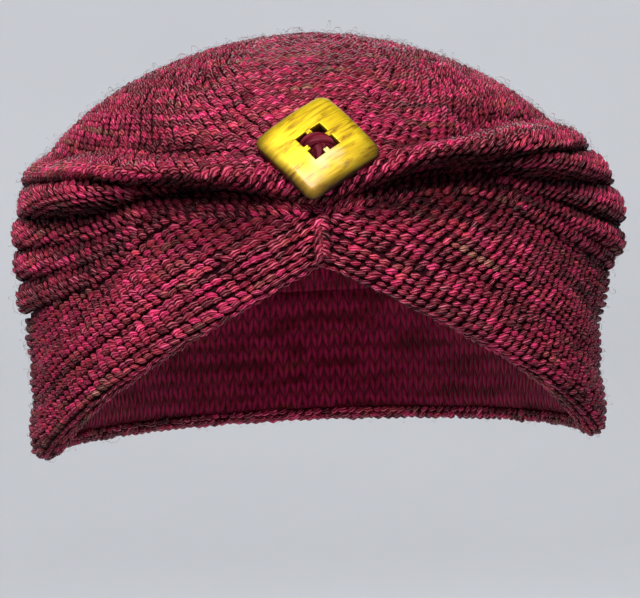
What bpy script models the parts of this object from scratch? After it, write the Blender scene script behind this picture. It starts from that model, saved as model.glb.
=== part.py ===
"""A knitted turban headwrap, gathered at the front under a square shell button.

Metres, +Z up. The front faces -Y and the origin is at the centre of the head opening, level with
the lowest part of the rim. The knit is one smooth skin, a level wall under a rounded dome, and the
folds stand proud of it or sink into it. A place on the skin is an azimuth, 0 at the front and
positive towards +X, and a climb, 0 at the shoulder, a quarter turn at the top of the dome and
negative down the wall.
"""
import math
from typing import NamedTuple

import bmesh
import bpy
from mathutils import Matrix, Vector

# Sizes of the whole wrap
WRAP_HEIGHT = 0.129
SHOULDER_HEIGHT = 0.072
HALF_WIDTH = 0.0895
HALF_LENGTH = 0.106
DOME_POWER = 1.85
DOME_SETBACK = 0.004

# The knit, and the gap left between pieces that touch
KNIT_WALL = 0.0055
FOLDED_WALL = 0.0080
RIM_ROLL = 0.0080
GAP = 0.0003

# The rim rises to an arch at the front
ARCH_HEIGHT = 0.0578
ARCH_TURN = math.radians(73.6)
ARCH_ROUNDING = math.radians(1.2)
LEVEL_EASING = math.radians(5)

# The band is pinched at the gather, and swells over its ridges at the sides
GATHER_HEIGHT = 0.0735
GATHER_PITCH = 0.0006
PINCH_DEPTH = 0.0030
PINCH_SPREAD = math.radians(7)
BAND_RIDGES = 3
RIDGE_RELIEF = 0.0010
BAND_WAIST = 0.0016
RECESS_SHARE = 0.45

# How far the folds rise and sink, and how far the drape hangs over the band
FOLD_RELIEF = 0.010
DRAPE_SAG = 0.0042
DRAPE_CREST = 0.0015
DRAPE_CREST_SHARE = 0.66

# The button, its domed face and its opening with four tabs
BUTTON_SIDE = 0.0262
BUTTON_THICKNESS = 0.0042
BUTTON_CORNER = 0.0034
BUTTON_DOME_RADIUS = 0.062
BUTTON_HEIGHT = 0.0897
BUTTON_LEAN = math.radians(2)
BUTTON_TURN = math.radians(37)
OPENING_SIDE = 0.0088
TAB_WIDTH = 0.0016
TAB_LENGTH = 0.0013

# The yarn through the button, and the cinched ridge of the gather
YARN_RADIUS = 0.00125
YARN_ARCH = 0.0012
YARN_FULLNESS = 0.8
CINCH_RADIUS = 0.0018

# How finely the skin is divided
COLUMNS = 88
FRONT_CROWDING = 0.40
DOME_ROWS = 9
ROLL_ROWS = 4
DRAPE_ROWS = 8
LINING_ROWS = 7
BAND_ROWS = 9
BAND_LINING_ROWS = 4
ROLL_SEGMENTS = 4
CORNER_SEGMENTS = 4
DOME_DIVISIONS = 5
TUBE_ROUNDING = 2
YARN_STEPS = 8
GATHER_STEPS = 6
SHARP_ANGLE = math.radians(35)
MERGE = 1e-7

# Plain colours and roughness, as shares of full light and of full roughness
KNIT_COLOUR = (0.20, 0.02, 0.055)
CINCH_COLOUR = (0.16, 0.015, 0.045)
YARN_COLOUR = (0.13, 0.012, 0.035)
SHELL_COLOUR = (0.72, 0.50, 0.02)
WOOL_ROUGHNESS = 0.9
SHELL_ROUGHNESS = 0.2


class Stations(NamedTuple):
    """Values at the four azimuths where a fold is set out, between the gather and the back."""
    swag: float
    cheek: float
    side: float
    back: float


STATION_AZIMUTH = Stations(math.radians(27), math.radians(50), math.radians(90), math.pi)


class Fold(NamedTuple):
    """The crease under one roll of the drape.

    height is a share of WRAP_HEIGHT, inset and roll are shares of FOLD_RELIEF: inset is how far
    the crease lies proud of the skin, and roll is how far the roll above it swells.
    """
    height: Stations
    inset: Stations
    roll: Stations


LEFT_FOLDS = {
    "shoulder": Fold(
        height=Stations(0.715, 0.745, 0.738, 0.735),
        inset=Stations(0.15, 0.00, 0.00, 0.00),
        roll=Stations(0.00, 0.00, 0.00, 0.00)),
    "drape_lip": Fold(
        height=Stations(0.651, 0.651, 0.651, 0.640),
        inset=Stations(-0.35, 0.15, 0.12, 0.00),
        roll=Stations(1.05, 0.60, 0.22, 0.10)),
    "second": Fold(
        height=Stations(0.642, 0.587, 0.575, 0.565),
        inset=Stations(-0.45, -0.38, 0.10, 0.00),
        roll=Stations(0.05, 0.75, 0.06, 0.12)),
    "third": Fold(
        height=Stations(0.612, 0.527, 0.500, 0.490),
        inset=Stations(-0.45, -0.45, 0.12, 0.00),
        roll=Stations(0.04, 0.10, 0.25, 0.12)),
    "fourth": Fold(
        height=Stations(0.585, 0.473, 0.424, 0.420),
        inset=Stations(-0.45, -0.45, 0.00, 0.00),
        roll=Stations(0.04, 0.08, 0.30, 0.12)),
    "band_top": Fold(
        height=Stations(0.562, 0.425, 0.347, 0.350),
        inset=Stations(-0.45, -0.40, 0.00, 0.00),
        roll=Stations(0.04, 0.08, 0.30, 0.12)),
}

RIGHT_FOLDS = {
    "shoulder": Fold(
        height=Stations(0.715, 0.775, 0.752, 0.735),
        inset=Stations(0.15, -0.05, -0.08, 0.00),
        roll=Stations(0.00, 0.00, 0.00, 0.00)),
    "drape_lip": Fold(
        height=Stations(0.673, 0.672, 0.679, 0.640),
        inset=Stations(-0.35, 0.10, 0.15, 0.00),
        roll=Stations(1.05, 0.85, 0.14, 0.10)),
    "second": Fold(
        height=Stations(0.663, 0.628, 0.586, 0.565),
        inset=Stations(-0.45, -0.30, 0.48, 0.00),
        roll=Stations(0.05, 0.62, 0.28, 0.12)),
    "third": Fold(
        height=Stations(0.647, 0.585, 0.495, 0.490),
        inset=Stations(-0.45, -0.45, 0.60, 0.00),
        roll=Stations(0.04, 0.12, 0.42, 0.12)),
    "fourth": Fold(
        height=Stations(0.628, 0.550, 0.423, 0.420),
        inset=Stations(-0.45, -0.45, 0.52, 0.00),
        roll=Stations(0.04, 0.10, 0.36, 0.12)),
    "band_top": Fold(
        height=Stations(0.605, 0.519, 0.388, 0.350),
        inset=Stations(-0.45, -0.45, 0.35, 0.00),
        roll=Stations(0.04, 0.08, 0.10, 0.12)),
}



class Dent(NamedTuple):
    """A soft hollow that runs along a line on the crown.

    The line runs from one azimuth and height to the other. Heights are shares of WRAP_HEIGHT,
    spread is a share of HALF_WIDTH and depth is a share of FOLD_RELIEF.
    """
    from_azimuth: float
    from_height: float
    to_azimuth: float
    to_height: float
    spread: float
    depth: float


DENTS = {
    "left_above_drape": Dent(math.radians(-62), 0.727, math.radians(-23), 0.672, 0.062, 0.24),
    "left_shoulder": Dent(math.radians(-55), 0.785, math.radians(-34), 0.752, 0.060, 0.14),
    "left_sweep": Dent(math.radians(-31), 0.870, math.radians(-17), 0.765, 0.070, 0.15),
    "right_above_drape": Dent(math.radians(35), 0.768, math.radians(56), 0.730, 0.062, 0.24),
    "right_sweep": Dent(math.radians(15), 0.815, math.radians(42), 0.870, 0.070, 0.12),
}

FOLD_NAMES = tuple(LEFT_FOLDS)
CREASES_BELOW_LIP = len(FOLD_NAMES) - 1


def blend(start, end, share):
    return start + (end - start) * share


def eased(share):
    share = min(max(share, 0.0), 1.0)
    return share * share * (3 - 2 * share)


def along_wrap(at_gather, stations, azimuth):
    """A smooth value at an azimuth that never passes the values at the stations beside it."""
    places = (0.0,) + tuple(STATION_AZIMUTH)
    values = (at_gather,) + tuple(stations)
    steps = [(values[i + 1] - values[i]) / (places[i + 1] - places[i]) for i in range(len(stations))]
    slopes = [steps[0]]
    for before, after in zip(steps, steps[1:]):
        meets = before * after > 0
        slopes.append(2 * before * after / (before + after) if meets else 0.0)
    slopes.append(0.0)
    angle = min(abs(azimuth), math.pi)
    i = max(k for k in range(len(stations)) if places[k] <= angle)
    width = places[i + 1] - places[i]
    t = (angle - places[i]) / width
    rise = t * t * (3 - 2 * t)
    lead = t * (1 - t) * (1 - t) * width * slopes[i]
    trail = t * t * (t - 1) * width * slopes[i + 1]
    return values[i] + (values[i + 1] - values[i]) * rise + lead + trail


def climb_at(height):
    rise = (height - SHOULDER_HEIGHT) / (WRAP_HEIGHT - SHOULDER_HEIGHT)
    if rise <= 0:
        return rise
    return math.asin(min(rise, 1.0) ** (DOME_POWER / 2))


def skin_frame(azimuth, climb):
    """The point of the smooth skin at an azimuth and a climb, and its outward normal."""
    dome_height = WRAP_HEIGHT - SHOULDER_HEIGHT
    if climb > 0:
        girth = max(math.cos(climb), 0.0) ** (2 / DOME_POWER)
        rise = math.sin(climb) ** (2 / DOME_POWER)
    else:
        girth = 1.0
        rise = climb
    setback = DOME_SETBACK * max(rise, 0.0)
    point = Vector((HALF_WIDTH * girth * math.sin(azimuth),
                    setback - HALF_LENGTH * girth * math.cos(azimuth),
                    SHOULDER_HEIGHT + dome_height * rise))
    lean = girth ** (DOME_POWER - 1)
    tilt = max(rise, 0.0) ** (DOME_POWER - 1)
    normal = Vector((lean * math.sin(azimuth) / HALF_WIDTH,
                     -lean * math.cos(azimuth) / HALF_LENGTH,
                     tilt / dome_height)).normalized()
    return point, normal


def skin_point(azimuth, climb, proud):
    point, normal = skin_frame(azimuth, climb)
    return point + normal * proud


def dented(point, azimuth):
    """How deep the soft hollows are at a point of the crown."""
    depth = 0.0
    for dent in DENTS.values():
        run = HALF_WIDTH * (dent.to_azimuth - dent.from_azimuth)
        rise = WRAP_HEIGHT * (dent.to_height - dent.from_height)
        across = HALF_WIDTH * (azimuth - dent.from_azimuth)
        up = point.z - WRAP_HEIGHT * dent.from_height
        share = (across * run + up * rise) / (run * run + rise * rise)
        share = min(max(share, 0.0), 1.0)
        away = math.hypot(across - share * run, up - share * rise)
        depth += dent.depth * FOLD_RELIEF * math.exp(-(away / (dent.spread * HALF_WIDTH)) ** 2)
    return depth


def crown_point(azimuth, climb, proud):
    point, normal = skin_frame(azimuth, climb)
    return point + normal * (proud - dented(point, azimuth))


def rim_height(azimuth):
    """The rim falls evenly from the arch at the front to the level edge at the sides."""
    turned = math.hypot(azimuth, ARCH_ROUNDING) - ARCH_ROUNDING
    left_to_fall = 1 - turned / ARCH_TURN
    softness = LEVEL_EASING / ARCH_TURN
    return ARCH_HEIGHT * (left_to_fall + math.hypot(left_to_fall, softness)) / 2


def pinch_at(azimuth):
    return PINCH_DEPTH * math.exp(-((azimuth / PINCH_SPREAD) ** 2))


class Crease(NamedTuple):
    climb: float
    proud: float
    roll: float


def creases_at(azimuth):
    """The creases of the drape at an azimuth, from the shoulder down to the top of the band."""
    folds = LEFT_FOLDS if azimuth < 0 else RIGHT_FOLDS
    creases = []
    for order, name in enumerate(FOLD_NAMES):
        fold = folds[name]
        at_gather = GATHER_HEIGHT + GATHER_PITCH * (CREASES_BELOW_LIP - order)
        if name == "shoulder":
            at_gather = BUTTON_HEIGHT
        heights = [share * WRAP_HEIGHT for share in fold.height]
        height = along_wrap(at_gather, heights, azimuth)
        gathered = DRAPE_CREST if name == "shoulder" else -PINCH_DEPTH
        inset = along_wrap(gathered, [share * FOLD_RELIEF for share in fold.inset], azimuth)
        roll = along_wrap(0.0, [share * FOLD_RELIEF for share in fold.roll], azimuth)
        creases.append(Crease(climb_at(height), inset, roll))
    return creases


def creased_swell(share):
    """How far a roll between two sharp creases swells at a share of its width."""
    return math.sqrt(max(math.sin(math.pi * share), 0.0))


def draped_swell(share):
    """The drape's own roll: it leaves the dome smoothly, and is round where it turns under."""
    if share < DRAPE_CREST_SHARE:
        return eased(share / DRAPE_CREST_SHARE)
    return math.sqrt(1 - ((share - DRAPE_CREST_SHARE) / (1 - DRAPE_CREST_SHARE)) ** 2)


def rolled(upper, lower, share, swell, sag):
    climb = blend(upper.climb, lower.climb, share) - sag * swell * share
    proud = blend(upper.proud, lower.proud, share) + lower.roll * swell
    return climb, proud


def crown_section(azimuth):
    """The crown's wall at one azimuth, from its top down the outside and up the lining."""
    creases = creases_at(azimuth)
    points = [skin_point(azimuth, math.pi / 2, 0.0)]
    for row in range(1, DOME_ROWS):
        share = row / DOME_ROWS
        climb = blend(math.pi / 2, creases[0].climb, share)
        points.append(crown_point(azimuth, climb, creases[0].proud * eased(share)))
    for order, (upper, lower) in enumerate(zip(creases, creases[1:])):
        is_drape = order == 0
        rows = DRAPE_ROWS if is_drape else ROLL_ROWS
        hang = min(lower.roll / FOLD_RELIEF, 1.0) if is_drape else 0.0
        sag = DRAPE_SAG / (WRAP_HEIGHT - SHOULDER_HEIGHT) * hang
        for row in range(rows):
            share = row / rows
            swell = draped_swell(share) if is_drape else creased_swell(share)
            climb, proud = rolled(upper, lower, share, swell, sag)
            points.append(crown_point(azimuth, climb, proud))
    hem = creases[-1]
    points.append(skin_point(azimuth, hem.climb, hem.proud))
    for row in range(LINING_ROWS + 1):
        share = row / LINING_ROWS
        climb = blend(hem.climb, math.pi / 2, share)
        points.append(skin_point(azimuth, climb, -blend(FOLDED_WALL, KNIT_WALL, eased(2 * share))))
    return points


def band_section(azimuth):
    """The band's wall at one azimuth, down the outside, round the rolled rim and up the lining."""
    top = creases_at(azimuth)[-1]
    dome_height = WRAP_HEIGHT - SHOULDER_HEIGHT
    top_climb = top.climb - GAP / dome_height
    half_roll = RIM_ROLL / 2
    edge = rim_height(azimuth)
    roll_climb = climb_at(edge + half_roll)
    sideways = math.sin(min(abs(azimuth), math.pi / 2))
    pinch = pinch_at(azimuth)
    points = []
    for row in range(BAND_ROWS + 1):
        share = row / BAND_ROWS
        out_of_recess = eased(share / RECESS_SHARE)
        ridge = abs(math.sin(math.pi * BAND_RIDGES * share)) * RIDGE_RELIEF * sideways
        waist = BAND_WAIST * math.sin(math.pi * share) * sideways
        proud = blend(top.proud, ridge - waist - pinch, out_of_recess)
        points.append(skin_point(azimuth, blend(top_climb, roll_climb, share), proud))
    outer = proud
    for turn in range(1, ROLL_SEGMENTS):
        angle = math.pi * turn / ROLL_SEGMENTS
        drop = half_roll * math.sin(angle)
        proud = outer - half_roll * (1 - math.cos(angle))
        points.append(skin_point(azimuth, climb_at(edge + half_roll - drop), proud))
    for row in range(BAND_LINING_ROWS + 1):
        share = row / BAND_LINING_ROWS
        depth = blend(RIM_ROLL - outer, FOLDED_WALL, share)
        slack = (FOLDED_WALL - KNIT_WALL) * math.sin(math.pi * share)
        points.append(skin_point(azimuth, blend(roll_climb, top_climb, share), slack - depth))
    points.append(points[0].copy())
    return points


def column_azimuth(column):
    """Columns stand closer together at the front, where the folds are finest."""
    turn = math.pi * (2 * column / COLUMNS - 1)
    return turn - FRONT_CROWDING * math.sin(turn)


def link(obj, collection, material=None):
    collection.objects.link(obj)
    if material is not None:
        obj.data.materials.append(material)
    return obj


def mesh_object(name, bm, collection, material=None):
    mesh = bpy.data.meshes.new(name)
    bm.to_mesh(mesh)
    bm.free()
    return link(bpy.data.objects.new(name, mesh), collection, material)


def finish_material(name, colour, roughness):
    material = bpy.data.materials.new(name)
    material.use_nodes = True
    shader = material.node_tree.nodes["Principled BSDF"]
    shader.inputs["Base Color"].default_value = (*colour, 1.0)
    shader.inputs["Roughness"].default_value = roughness
    shader.inputs["Metallic"].default_value = 0.0
    material.diffuse_color = (*colour, 1.0)
    return material


def knitted_wall(name, section_at, collection, material):
    """A grid wrapped round the head: each column takes the wall's section at its azimuth."""
    sections = [section_at(column_azimuth(column)) for column in range(COLUMNS + 1)]
    rows = len(sections[0]) - 1
    bm = bmesh.new()
    bmesh.ops.create_grid(bm, x_segments=COLUMNS, y_segments=rows, size=0.5)
    for vert in bm.verts:
        column = round((vert.co.x + 0.5) * COLUMNS)
        row = round((vert.co.y + 0.5) * rows)
        vert.co = sections[column][row]
    bmesh.ops.remove_doubles(bm, verts=bm.verts, dist=MERGE)
    bmesh.ops.recalc_face_normals(bm, faces=bm.faces)
    obj = mesh_object(name, bm, collection, material)
    obj.data.shade_smooth()
    return obj


def button_place():
    """The button lies on the drape above the gather, held clear of its highest point by the gap."""
    climb = climb_at(BUTTON_HEIGHT)
    centre, normal = skin_frame(0.0, climb)
    across = Vector((1, 0, 0))
    up = normal.cross(across)
    upright = Matrix.Rotation(BUTTON_LEAN, 3, across)
    up = upright @ up
    normal = upright @ normal
    turn = Matrix((across, up, normal)).transposed()
    reach = BUTTON_SIDE / 2
    columns = [column_azimuth(column) for column in range(COLUMNS + 1)]
    highest = 0.0
    for azimuth in columns:
        for point in crown_section(azimuth):
            offset = point - centre
            if math.hypot(offset.dot(across), offset.dot(up)) < reach * math.sqrt(2):
                highest = max(highest, offset.dot(normal))
    seat = centre + normal * (highest + GAP)
    return Matrix.Translation(seat) @ turn.to_4x4() @ Matrix.Rotation(BUTTON_TURN, 4, "Z")


def opening_outline():
    """The corners of a square with a tab reaching in from the middle of each side."""
    half = OPENING_SIDE / 2
    tab = TAB_WIDTH / 2
    tip = half - TAB_LENGTH
    side = [(half, -half), (half, -tab), (tip, -tab), (tip, tab), (half, tab)]
    corners = []
    for quarter in range(4):
        turn = Matrix.Rotation(quarter * math.pi / 2, 2)
        corners += [turn @ Vector(corner) for corner in side]
    return corners


def mesh_from_curve(name, curve, collection):
    """A curve object turned into a mesh object with its caps welded on."""
    source = link(bpy.data.objects.new(name + "_curve", curve), collection)
    bpy.context.view_layer.update()
    evaluated = source.evaluated_get(bpy.context.evaluated_depsgraph_get())
    mesh = bpy.data.meshes.new_from_object(evaluated)
    bpy.data.objects.remove(source)
    bm = bmesh.new()
    bm.from_mesh(mesh)
    bmesh.ops.remove_doubles(bm, verts=bm.verts, dist=MERGE)
    bmesh.ops.recalc_face_normals(bm, faces=bm.faces)
    bm.to_mesh(mesh)
    bm.free()
    mesh.name = name
    return link(bpy.data.objects.new(name, mesh), collection)


def as_cutter(obj):
    obj.hide_render = True
    obj.display_type = "WIRE"
    return obj


def opening_cutter(place, cutters):
    curve = bpy.data.curves.new("button_opening", "CURVE")
    curve.dimensions = "2D"
    curve.fill_mode = "BOTH"
    curve.extrude = BUTTON_THICKNESS * 2
    outline = opening_outline()
    spline = curve.splines.new("POLY")
    spline.points.add(len(outline) - 1)
    for point, corner in zip(spline.points, outline):
        point.co = (corner.x, corner.y, 0.0, 1.0)
    spline.use_cyclic_u = True
    cutter = mesh_from_curve("button_opening", curve, cutters)
    cutter.matrix_world = place
    return as_cutter(cutter)


def dome_cutter(place, cutters):
    """The ball whose surface is the button's domed face."""
    bm = bmesh.new()
    bmesh.ops.create_icosphere(bm, subdivisions=DOME_DIVISIONS, radius=BUTTON_DOME_RADIUS)
    sunk = Matrix.Translation((0, 0, BUTTON_THICKNESS - BUTTON_DOME_RADIUS))
    bmesh.ops.transform(bm, matrix=sunk, verts=bm.verts)
    cutter = mesh_object("button_dome", bm, cutters)
    cutter.matrix_world = place
    return as_cutter(cutter)


def cut_with(obj, cutter, operation):
    boolean = obj.modifiers.new(cutter.name, "BOOLEAN")
    boolean.object = cutter
    boolean.operation = operation
    boolean.solver = "EXACT"
    return boolean


def make_button(place, collection, cutters, material):
    bm = bmesh.new()
    bmesh.ops.create_cube(bm, size=1.0)
    size = Matrix.Diagonal((BUTTON_SIDE, BUTTON_SIDE, BUTTON_THICKNESS, 1.0))
    lift = Matrix.Translation((0, 0, BUTTON_THICKNESS / 2))
    bmesh.ops.transform(bm, matrix=lift @ size, verts=bm.verts)
    upright = [edge for edge in bm.edges if edge.verts[0].co.xy == edge.verts[1].co.xy]
    bmesh.ops.bevel(bm, geom=upright, offset=BUTTON_CORNER, offset_type="OFFSET",
                    segments=CORNER_SEGMENTS, profile=0.5, affect="EDGES", material=-1)
    button = mesh_object("button", bm, collection, material)
    button.matrix_world = place
    cut_with(button, dome_cutter(place, cutters), "INTERSECT")
    cut_with(button, opening_cutter(place, cutters), "DIFFERENCE")
    button.data.shade_smooth()
    button.data.set_sharp_from_angle(angle=SHARP_ANGLE)
    return button


def tube(name, points, radius, collection):
    curve = bpy.data.curves.new(name, "CURVE")
    curve.dimensions = "3D"
    curve.bevel_depth = radius
    curve.bevel_resolution = TUBE_ROUNDING
    curve.use_fill_caps = True
    spline = curve.splines.new("POLY")
    spline.points.add(len(points) - 1)
    for target, point in zip(spline.points, points):
        target.co = (*point, 1.0)
    return mesh_from_curve(name, curve, collection)


def make_button_yarn(place, collection, cutters, material):
    """Two strands through the opening: one arched from corner to corner, one down to the third."""
    corner = (OPENING_SIDE - TAB_WIDTH) / 4 + TAB_WIDTH / 2
    reach = corner * math.sqrt(2)
    low = YARN_RADIUS + GAP
    top = BUTTON_THICKNESS + YARN_ARCH - YARN_RADIUS
    diagonal = Matrix.Rotation(-math.pi / 4, 4, "Z")
    across = []
    down = []
    for step in range(YARN_STEPS + 1):
        share = step / YARN_STEPS
        height = blend(low, top, max(math.sin(math.pi * share), 0.0) ** YARN_FULLNESS)
        across.append(place @ diagonal @ Vector((reach * (2 * share - 1), 0, height)))
        fall = blend(top - YARN_RADIUS / 2, low, eased(share))
        down.append(place @ diagonal @ Vector((0, -reach * share, fall)))
    strand = tube("button_yarn", across, YARN_RADIUS, collection)
    strand.data.materials.append(material)
    second = as_cutter(tube("yarn_down", down, YARN_RADIUS, cutters))
    cut_with(strand, second, "UNION")
    strand.data.shade_smooth()
    return strand


def make_front_gather(collection, material):
    """The cinched ridge lies in the pinch of the band, a gap off both of its slopes."""
    slope_run = HALF_WIDTH * column_azimuth(COLUMNS // 2 + 1)
    slope_rise = pinch_at(0.0) - pinch_at(column_azimuth(COLUMNS // 2 + 1))
    slope = math.atan2(slope_rise, slope_run)
    proud = (CINCH_RADIUS + GAP) / math.cos(slope) - PINCH_DEPTH
    low = climb_at(rim_height(0.0) + CINCH_RADIUS)
    high = climb_at(GATHER_HEIGHT - CINCH_RADIUS)
    axis = []
    for step in range(GATHER_STEPS + 1):
        axis.append(skin_point(0.0, blend(low, high, step / GATHER_STEPS), proud))
    gather = tube("front_gather", axis, CINCH_RADIUS, collection)
    gather.data.materials.append(material)
    gather.data.shade_smooth()
    return gather


def build():
    for obj in list(bpy.data.objects):
        bpy.data.objects.remove(obj, do_unlink=True)
    parts = bpy.data.collections.new("turban_headwrap")
    cutters = bpy.data.collections.new("cutters")
    bpy.context.scene.collection.children.link(parts)
    bpy.context.scene.collection.children.link(cutters)
    crown_knit = finish_material("crown_wool", KNIT_COLOUR, WOOL_ROUGHNESS)
    band_knit = finish_material("band_wool", KNIT_COLOUR, WOOL_ROUGHNESS)
    cinch = finish_material("cinch_wool", CINCH_COLOUR, WOOL_ROUGHNESS)
    yarn = finish_material("button_wool", YARN_COLOUR, WOOL_ROUGHNESS)
    shell = finish_material("gold_shell", SHELL_COLOUR, SHELL_ROUGHNESS)
    knitted_wall("crown", crown_section, parts, crown_knit)
    knitted_wall("brim_band", band_section, parts, band_knit)
    make_front_gather(parts, cinch)
    place = button_place()
    make_button(place, parts, cutters, shell)
    make_button_yarn(place, parts, cutters, yarn)


build()
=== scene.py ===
"""The looks of a hand-knitted turban headwrap with a square shell button.

The cloth follows the same sizes as the model's solids. Its rows of stitches are laid over two fine
walls, one for the crown and one for the band. Every stitch is a short length of plied yarn.
"""
import math
from typing import NamedTuple

import bmesh
import bpy
import numpy as np
from mathutils import Matrix, Vector


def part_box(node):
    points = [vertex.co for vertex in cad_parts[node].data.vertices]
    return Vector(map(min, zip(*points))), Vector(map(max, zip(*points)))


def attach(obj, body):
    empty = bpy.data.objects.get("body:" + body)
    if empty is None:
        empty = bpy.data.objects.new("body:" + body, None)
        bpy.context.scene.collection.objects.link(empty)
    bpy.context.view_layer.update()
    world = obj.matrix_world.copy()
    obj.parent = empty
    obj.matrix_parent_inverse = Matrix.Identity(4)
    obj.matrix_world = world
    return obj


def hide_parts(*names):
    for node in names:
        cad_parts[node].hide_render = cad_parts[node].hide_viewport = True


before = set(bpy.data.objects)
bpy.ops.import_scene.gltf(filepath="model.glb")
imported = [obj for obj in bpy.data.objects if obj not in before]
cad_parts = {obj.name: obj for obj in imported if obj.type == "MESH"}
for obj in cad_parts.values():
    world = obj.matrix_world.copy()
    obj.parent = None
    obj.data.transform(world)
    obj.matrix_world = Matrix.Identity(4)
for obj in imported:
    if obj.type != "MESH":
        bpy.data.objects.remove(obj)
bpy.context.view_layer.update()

# Sizes of the wrap, as the solids have them
WRAP_HEIGHT = 0.129
SHOULDER_HEIGHT = 0.072
DOME_HEIGHT = WRAP_HEIGHT - SHOULDER_HEIGHT
HALF_WIDTH = 0.0895
HALF_LENGTH = 0.106
DOME_POWER = 1.85
DOME_SETBACK = 0.004
KNIT_WALL = 0.0055
FOLDED_WALL = 0.0080
RIM_ROLL = 0.0080
GAP = 0.0003
ARCH_HEIGHT = 0.0578
ARCH_TURN = math.radians(73.6)
ARCH_ROUNDING = math.radians(1.2)
LEVEL_EASING = math.radians(5)
GATHER_HEIGHT = 0.0735
GATHER_PITCH = 0.0006
PINCH_DEPTH = 0.0030
PINCH_SPREAD = math.radians(7)
BAND_RIDGES = 3
RIDGE_RELIEF = 0.0010
BAND_WAIST = 0.0016
RECESS_SHARE = 0.45
FOLD_RELIEF = 0.010
DRAPE_SAG = 0.0042
DRAPE_CREST = 0.0015
DRAPE_CREST_SHARE = 0.66
BUTTON_SIDE = 0.0262
BUTTON_THICKNESS = 0.0042
BUTTON_CORNER = 0.0034
BUTTON_DOME_RADIUS = 0.062
BUTTON_HEIGHT = 0.0897
BUTTON_LEAN = math.radians(2)
BUTTON_TURN = math.radians(37)
OPENING_SIDE = 0.0088
TAB_WIDTH = 0.0016
TAB_LENGTH = 0.0013
FRONT_CROWDING = 0.40

# The yarn and its stitches
ROW_PITCH = 0.0024
STITCH_PITCH = 0.0031
BAND_ROW_PITCH = 0.0024
BAND_STITCH_PITCH = 0.0030
BACKING_DEPTH = 0.0012
ROWS_PER_DECREASE = 7
FEWEST_STITCHES = 6
THINNEST_ROW = 0.0013
LOST_ROW = 0.00012
STITCH_HEIGHTS = (0.0018, 0.0038)
CROWN_PLUMPNESS = 0.0019
BAND_PLUMPNESS = 0.0021
CROWN_SLACK = 0.94
BAND_SLACK = 0.86
LEFT_FRONT_STRETCH = 0.12
JOIN_LAP = 0.0007

# How uneven the handwork is, as spreads of a stitch's shift, rise, size, lean and depth
SHIFT_SPREAD = 0.06
RISE_SPREAD = 0.07
SIZE_SPREAD = 0.10
LEAN_SPREAD = 0.16
DEPTH_SPREAD = 0.00016

# The dye: how many stitches a run of colour has and its share, and how the colours spread
DYE_RUNS = ((3.1, 0.52), (19.0, 0.48))
DYE_ODDS = (1.6, 2.0)
DYE_MEAN = 0.45
DYE_CENTRE = 0.47
DYE_CONTRAST = 1.4

# Painted shade: how much darker the cloth's colour is made where other cloth stands over it, at the root of
# every stitch, on the top and round the sides
SHELTER_REACH = 0.022
FULL_SHELTER = 0.95
ROOT_OPENNESS = 0.25
TOP_START = 0.102
TOP_GAIN = 1.2
TOP_PAINTED_SHADE = 0.36
SIDE_PAINTED_SHADE = 0.45

# How finely the walls and the curves of the rows are drawn
WALL_COLUMNS = 220
WALL_DOME, WALL_DRAPE, WALL_ROLL = 22, 14, 7
WALL_BAND, WALL_RIM = 20, 8
CROWN_LINING, BAND_LINING = 16, 10
WALES, CROWN_COURSES, BAND_COURSES = 180, 70, 30
COLUMNS = 480
DOME_ROWS, DRAPE_ROWS, ROLL_ROWS = 60, 36, 14
BAND_ROWS, RIM_ROWS = 60, 12

STATION_AZIMUTH = (0.0, math.radians(27), math.radians(50), math.radians(90), math.pi)


class Fold(NamedTuple):
    """A crease: its height, how proud it lies and how far the roll above it swells.

    Each is given at the four stations beyond the gather, the last of them at the back.
    """
    height: tuple
    inset: tuple
    roll: tuple


LEFT_FOLDS = {
    "shoulder": Fold((0.715, 0.745, 0.738, 0.735), (0.15, 0.00, 0.00, 0.00), (0.00, 0.00, 0.00, 0.00)),
    "drape_lip": Fold((0.651, 0.651, 0.651, 0.640), (-0.35, 0.15, 0.12, 0.00), (1.05, 0.60, 0.22, 0.10)),
    "second": Fold((0.642, 0.587, 0.575, 0.565), (-0.45, -0.38, 0.10, 0.00), (0.05, 0.75, 0.06, 0.12)),
    "third": Fold((0.612, 0.527, 0.500, 0.490), (-0.45, -0.45, 0.12, 0.00), (0.04, 0.10, 0.25, 0.12)),
    "fourth": Fold((0.585, 0.473, 0.424, 0.420), (-0.45, -0.45, 0.00, 0.00), (0.04, 0.08, 0.30, 0.12)),
    "band_top": Fold((0.562, 0.425, 0.347, 0.350), (-0.45, -0.40, 0.00, 0.00), (0.04, 0.08, 0.30, 0.12)),
}
RIGHT_FOLDS = {
    "shoulder": Fold((0.715, 0.775, 0.752, 0.735), (0.15, -0.05, -0.08, 0.00), (0.00, 0.00, 0.00, 0.00)),
    "drape_lip": Fold((0.673, 0.672, 0.679, 0.640), (-0.35, 0.10, 0.15, 0.00), (1.05, 0.85, 0.14, 0.10)),
    "second": Fold((0.663, 0.628, 0.586, 0.565), (-0.45, -0.30, 0.48, 0.00), (0.05, 0.62, 0.28, 0.12)),
    "third": Fold((0.647, 0.585, 0.495, 0.490), (-0.45, -0.45, 0.60, 0.00), (0.04, 0.12, 0.42, 0.12)),
    "fourth": Fold((0.628, 0.550, 0.423, 0.420), (-0.45, -0.45, 0.52, 0.00), (0.04, 0.10, 0.36, 0.12)),
    "band_top": Fold((0.605, 0.519, 0.388, 0.350), (-0.45, -0.45, 0.35, 0.00), (0.04, 0.08, 0.10, 0.12)),
}
FOLD_NAMES = tuple(LEFT_FOLDS)


class Dent(NamedTuple):
    """A soft hollow along a line on the crown, from one azimuth and height to another."""
    from_azimuth: float
    from_height: float
    to_azimuth: float
    to_height: float
    spread: float
    depth: float


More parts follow.
